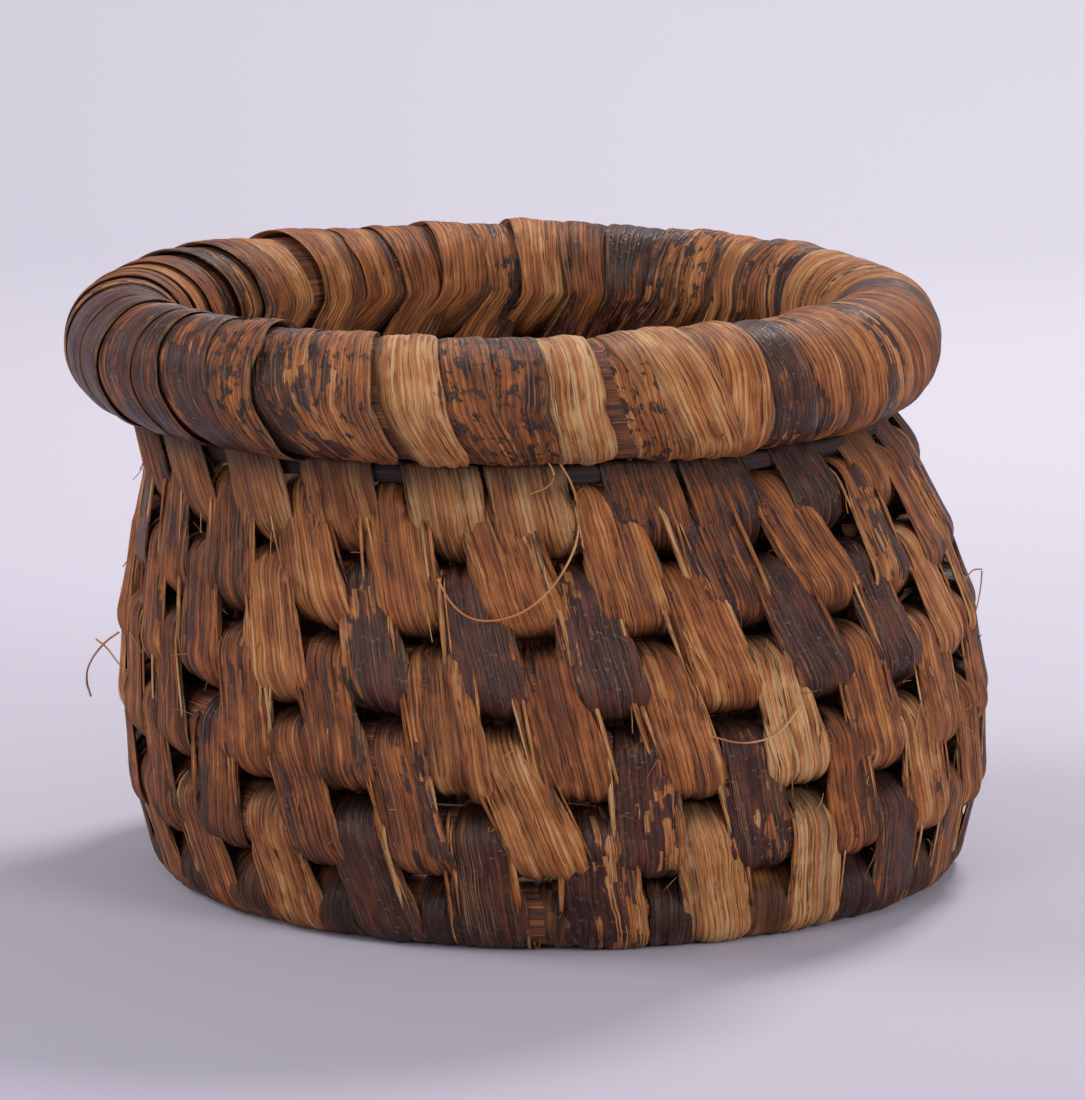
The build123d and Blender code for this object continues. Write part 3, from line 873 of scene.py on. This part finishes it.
def lay_wrap(bands, turn, long, habits, neck_look):
    """One wrap: its outline, its width and lift on the grid, then bent round the rim's ring."""
    rim_spot, rim_out = rim_frame(np.array([turn]))
    gap = rim_spot[0] - coil_middle(np.array([turn]))[0]
    away = np.array([gap @ rim_out[0], gap[2]])
    line, along = even_line(wrap_outline(away, long), WRAP_COUNT)
    ahead = unit(np.gradient(line, axis=0))
    normal = np.stack([ahead[:, 1], -ahead[:, 0]], axis=-1)
    place, side = strip_profile()
    share = along / along[-1]
    angle = np.degrees(np.unwrap(np.arctan2(line[:, 1], line[:, 0])))
    on_rim = ramp(angle, 240, 200) * ramp(line[:, 1], -7.5, -4.5)
    inner, neck = ramp(angle, 90, 150), 1 - on_rim
    rim_width = habits["width"] * (1 - INNER_NARROWING * inner)
    width = rim_width * on_rim + NECK_STRIP_WIDTH * (1 + 0.5 * inner) * neck
    across = between_edges(place, width, wandering_edges(share, habits))
    lift = pleats(place[None, :], share[:, None], habits) * (0.4 + 0.6 * np.maximum(inner, neck))[:, None]
    lift = lift + habits["crown"] * 0.5 * (1 - place ** 2)
    shingle = (habits["layer"] + (SHINGLE + habits["tilt"] * 0.5) * place) * on_rim[:, None]
    lift = lift + shingle + OVERLAP * 1.5 * (neck * (angle > 180))[:, None] + side * STRIP_THICKNESS / 2
    out_by, up_by = line[:, :1] + normal[:, :1] * lift, line[:, 1:] + normal[:, 1:] * lift
    low = np.minimum(line[:, 1], 0) + away[1]
    swing = ramp(angle, -60, 180) * ramp(angle, SLANT_ENDS, SLANT_TURNS_BACK)
    turns = turn - LEAN * low / COIL_PITCH - COLUMN * RIM_SLANT * swing
    drift = habits["drift"] - habits["yaw"] * np.clip(line[:, 1], -RIM_STRIP_MIDDLE, RIM_STRIP_MIDDLE)
    turns = turns[:, None] + (across + drift[:, None]) / (2 * np.pi * RIM_RADIUS)
    middle, out = rim_frame(turns)
    grid = middle + out * out_by[..., None] + UP * up_by[..., None]
    # Painted shade: in the crease, inside the neck, and along the edge under a neighbour.
    in_crease = ramp(angle, CREASE_DEGREES + 25, CREASE_DEGREES) + ramp(share, 0.93, 0.99)
    deep = in_crease * CREASE_SHADE + neck * inner * INNER_SHADE
    shade = LOW_COVERED_SHADE if habits["layer"] < 0 else COVERED_SHADE
    covered = ramp(place, COVERED_PLACE, COVERED_PLACE - 0.2) * shade
    deep = np.clip(deep[:, None] + covered * on_rim[:, None], 0, 1)
    blend = np.where(angle > 180, neck, 0)
    values = {key: habits[key] + (neck_look[nth] - habits[key]) * blend
              for nth, key in enumerate(("tint", "skin", "spots"))}
    values["deep"] = deep
    bands.add(grid, along, across, place, habits, values, closed=False)


# %% [markdown]
# The rim's looks are listed too, from the right end of the front round to the left: smooth
# orange, striped tan, bare straw, spotted orange and, on the left, mottled black and tan. A second list
# holds the lower ends of the long wraps, which cross the neck under the roll.

# %% The rim's looks and wraps
STRAW, SPOTTED, SMOOTH = (0.14, -1.1, 0.3), (0.36, -0.8, 0.95), (0.42, -1.3, 0.0)
BLOTCHED, MOTTLED, STRIPED = (0.36, -0.3, 0.7), (0.40, 0.25, 0.6), (0.30, 0.0, 0.1)
VEINED = (0.50, -0.5, 1.0)
RIM_FIRST = 9
RIM_LOOKS = (SMOOTH, SMOOTH, STRIPED, WARM, STRIPED, MOTTLED, WARM, STRAW, SPOTTED, STRAW, VEINED, SPOTTED,
             STRAW, BLOTCHED, MOTTLED, VEINED, MOTTLED, DARK, MOTTLED, DARK, MOTTLED)
RIM_OTHERS = (SPOTTED, BLOTCHED, TAN, WARM, MOTTLED, SPOTTED, BROWN, SMOOTH, STRIPED)
NECK_LOOKS = {13: BLACK, 15: RED, 17: BROWN, 19: TAN, 21: TAN, 23: WARM, 25: TAN, 27: WARM}
WRAP_START = FLOOR_TURNS + SPACING * WALL_STITCHES - LEAN / 2
for piece_number, first_wrap in enumerate(range(0, RIM_TURNS, TURNS_PER_WRAP)):
    name = f"rim_wrap_{piece_number + 1:02d}"
    bands = Bands(name.replace("wrap", "leaves"))
    for wrap in range(first_wrap, min(first_wrap + TURNS_PER_WRAP, RIM_TURNS)):
        drawn = RIM_OTHERS[random.integers(len(RIM_OTHERS))]
        nth = wrap - RIM_FIRST
        look = RIM_LOOKS[nth] if 0 <= nth < len(RIM_LOOKS) else drawn
        layer = RIM_LAYERS[random.integers(len(RIM_LAYERS))]
        width, yaw = RIM_STRIP_WIDTH * random.uniform(0.85, 1.12), random.normal(0, RIM_YAW)
        habits = strip_habits(width, look, layer=layer, yaw=yaw)
        neck_look = NECK_LOOKS.get(wrap, OTHER_LOOKS[random.integers(len(OTHER_LOOKS))])
        lay_wrap(bands, WRAP_START - wrap * COLUMN, wrap % 2 == 1, habits, neck_look)
    hand_over(bands, rim_leaf, name)

# %% [markdown]
# Fluff. Every split edge sheds hair-fine fibres that stand off the wall, and a few long ones have come
# loose: one hangs in a loop under the rim, others stick out at the sides. A hair system would be lost in
# the exported model, so they are thin tubes. The fluff is seeded. The long ones are given by a few points
# each, as azimuth in degrees from the front, height and distance from the wall, with cut corners.

# %% Fluff and loose fibres
FLUFF_COUNT = 400
WALL_HEIGHTS = (0.3, 3.5, 6.7, 9.9, 13.1, 19.5, 25.9, 32.3, 38.6, 45.0, 50.0)
WALL_RADII = (38.8, 41.2, 42.7, 43.5, 43.9, 44.2, 43.65, 42.3, 40.4, 37.9, 38.5)
LONG_FIBRES = (
    (0.10, ((5.4, 49.5, 1.0), (7.4, 46.0, 2.4), (6.6, 41.5, 2.2), (2.3, 37.0, 1.6), (-2.5, 34.2, 1.3),
            (-8.0, 33.3, 1.2), (-11.5, 34.5, 1.0), (-13.6, 37.2, 0.6))),
    (0.09, ((3.4, 49.8, 1.2), (5.0, 48.0, 2.6), (4.2, 46.4, 2.5), (1.0, 45.4, 1.4))),
    (0.11, ((-88, 24.0, 0.6), (-90, 22.6, 2.2), (-91, 20.2, 3.8), (-92, 18.0, 4.2), (-92, 16.6, 3.9))),
    (0.08, ((-86, 21.0, 0.5), (-88, 22.5, 1.8), (-90, 23.0, 3.0))),
    (0.08, ((84, 27.0, 0.4), (86, 29.0, 1.4), (87, 30.6, 2.0))),
    (0.08, ((80, 30.5, 0.4), (82, 31.5, 1.4), (84, 31.2, 2.2))),
    (0.09, ((20, 22.0, 0.8), (24, 21.0, 1.4), (29, 21.5, 1.2), (33, 24.0, 0.8))),
)


def smooth_line(points):
    """Corner cutting: three times, every segment is replaced by its points at one and three quarters."""
    for _ in range(3):
        near, far = points[:-1] * 0.75 + points[1:] * 0.25, points[:-1] * 0.25 + points[1:] * 0.75
        middle = np.stack([near, far], axis=1).reshape(-1, points.shape[1])
        points = np.concatenate([points[:1], middle, points[-1:]])
    return points


def off_the_wall(azimuth, height, away):
    """A point in front of the wall: its radius at that height, read between measured heights."""
    angle = np.radians(azimuth - 90)
    radius = np.interp(height, WALL_HEIGHTS, WALL_RADII) + away
    shift = RIM_SHIFT * (height / RIM_HEIGHT) ** RIM_SHIFT_POWER
    return np.stack([radius * np.cos(angle) + shift, radius * np.sin(angle), height], axis=-1)


bands = Bands("loose_fibres")
for thickness, points in LONG_FIBRES:
    azimuth, height, away = smooth_line(np.array(points)).T
    lay_tube(bands, off_the_wall(azimuth, height, away), thickness - RIPPLE * 0.5, 6, 0.12)
for _ in range(FLUFF_COUNT):
    first = np.array([random.uniform(-180, 180), random.uniform(2, 46), random.uniform(-0.6, 0.4)])
    swing = np.array([random.normal(0, 2.2), random.normal(0, 1.6), 0])
    curl = np.array([random.normal(0, 1.2), random.normal(0, 1.0), random.uniform(0.2, 0.9)])
    part = np.linspace(0, 1, 5)[:, None]
    azimuth, height, away = (first + swing * part + curl * part ** 2).T
    radius, tint = random.uniform(-0.02, 0.02), random.uniform(0, 0.5)
    lay_tube(bands, off_the_wall(azimuth, height, away), radius, 3, tint)
piece = bands.build(bundle_fibre)
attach(piece, "root")

# %% [markdown]
# The floor and the backdrop: one pale lilac sheet that curves up behind, as in a photographer's sweep.
# A floor and a wall would meet in a line, and the quarter circle leaves none. Its tone darkens towards the
# viewer: painted shade.

# %% The sweep
SWEEP_WIDTH = 2600
SWEEP_FRONT = -900
SWEEP_BACK = 420
SWEEP_BEND = 260
SWEEP_TOP = 900
# Lilac paper tones along the depth: the darker ones towards the front are painted shade.
SWEEP_TONES_AND_SHADE = (
    (0.05, (0.370, 0.352, 0.418)),
    (0.33, (0.470, 0.448, 0.525)),
    (0.50, (0.500, 0.478, 0.550)),
    (0.97, (0.640, 0.622, 0.695)),
)


def sweep_sheet():
    """A sheet whose section runs level, round a quarter circle, then straight up."""
    turned = np.linspace(0, np.pi / 2, 24)
    bend_y = SWEEP_BACK + SWEEP_BEND * np.sin(turned)
    bend_z = SWEEP_BEND * (1 - np.cos(turned))
    y = np.concatenate([[SWEEP_FRONT], bend_y, [SWEEP_BACK + SWEEP_BEND]])
    z = np.concatenate([[0], bend_z, [SWEEP_TOP]])
    left = np.stack([np.full(len(y), -SWEEP_WIDTH / 2), y, z], axis=-1)
    right = left * np.array([-1, 1, 1])
    rows = np.arange(len(y) - 1)
    quads = np.stack([rows, rows + len(y), rows + len(y) + 1, rows + 1], axis=-1)
    mesh = bpy.data.meshes.new("sweep")
    mesh.from_pydata((np.vstack([left, right]) * METRES).tolist(), [], quads.tolist())
    mesh.polygons.foreach_set("use_smooth", np.ones(len(quads), dtype=bool))
    sheet = bpy.data.objects.new("sweep", mesh)
    bpy.context.collection.objects.link(sheet)
    return sheet


def sweep_material():
    """Matt lilac paper with the faintest mottling, and painted shade: darker towards the front."""
    material, shader, make = new_material("sweep_paper")
    spot = make.add("TexCoord", {}, output=3)
    mottle = make.add("TexNoise", {"Vector": spot, "Scale": 9.0, "Detail": 3.0})
    # Painted shade: the tone follows the depth, so the paper darkens towards the viewer.
    depth = make.add("SeparateXYZ", {0: spot}, output=1) + 0.3 + mottle * 0.03
    connect(shader, "Base Color", make.add("ValToRGB", {0: depth}, {"stops": SWEEP_TONES_AND_SHADE}))
    shader.inputs["Roughness"].default_value = 0.9
    shader.inputs["Specular IOR Level"].default_value = 0.2
    return material


sweep = sweep_sheet()
sweep.data.materials.append(sweep_material())

# %% [markdown]
# The light. One soft lamp stands behind and to the right, and throws the shadow to the front and left.
# One at the left lights that side, and two broad ones fill from the viewer's side. The world adds a
# little light from everywhere. A sun would be simpler, but its shadows are too hard for a studio.

# %% Lamps and world
WORLD_COLOUR = (0.86, 0.85, 0.92, 1)
WORLD_STRENGTH = 0.46
LAMP_AIM = (0, 0, 30)


def soft_lamp(name, place, size, watts, colour):
    """A square area lamp that faces the basket."""
    lamp = bpy.data.lights.new(name, "AREA")
    lamp.size = size * METRES
    lamp.energy = watts
    lamp.color = colour
    holder = bpy.data.objects.new(name, lamp)
    bpy.context.collection.objects.link(holder)
    spot = np.array(place) * METRES
    aim = np.array(LAMP_AIM) * METRES - spot
    pitch = np.arctan2(np.hypot(aim[0], aim[1]), -aim[2])
    holder.location = spot
    holder.rotation_euler = (pitch, 0, np.arctan2(-aim[0], aim[1]))


soft_lamp("key", (190, 330, 480), 130, 2.7, (1.0, 0.98, 0.96))
soft_lamp("side", (-450, 10, 330), 240, 1.3, (1.0, 0.98, 0.98))
soft_lamp("fill", (-360, -560, 240), 260, 1.1, (1.0, 0.99, 1.0))
soft_lamp("front", (480, -440, 260), 260, 2.4, (1.0, 0.98, 0.96))
world = bpy.data.worlds.new("studio")
bpy.context.scene.world = world
world.use_nodes = True
background = world.node_tree.nodes["Background"].inputs
background["Color"].default_value = WORLD_COLOUR
background["Strength"].default_value = WORLD_STRENGTH

# %% [markdown]
# The camera stands where the photographer's stood: far off with a long lens, looking a little down. The
# view was fitted by drawing rings of the basket's size over the photograph.

# %% Camera
CAMERA_PLACE = (-1.48, -714.9, 170.0)
CAMERA_PITCH_DEGREES = 79.1
CAMERA_LENS = 232.26
camera_data = bpy.data.cameras.new("camera")
camera_data.lens = CAMERA_LENS
camera_data.sensor_width = 36
camera_data.clip_start = 0.05
camera_data.clip_end = 20
camera = bpy.data.objects.new("camera", camera_data)
bpy.context.collection.objects.link(camera)
camera.location = np.array(CAMERA_PLACE) * METRES
camera.rotation_euler = (np.radians(CAMERA_PITCH_DEGREES), 0, 0)
bpy.context.scene.camera = camera
bpy.context.scene.view_settings.view_transform = "Standard"
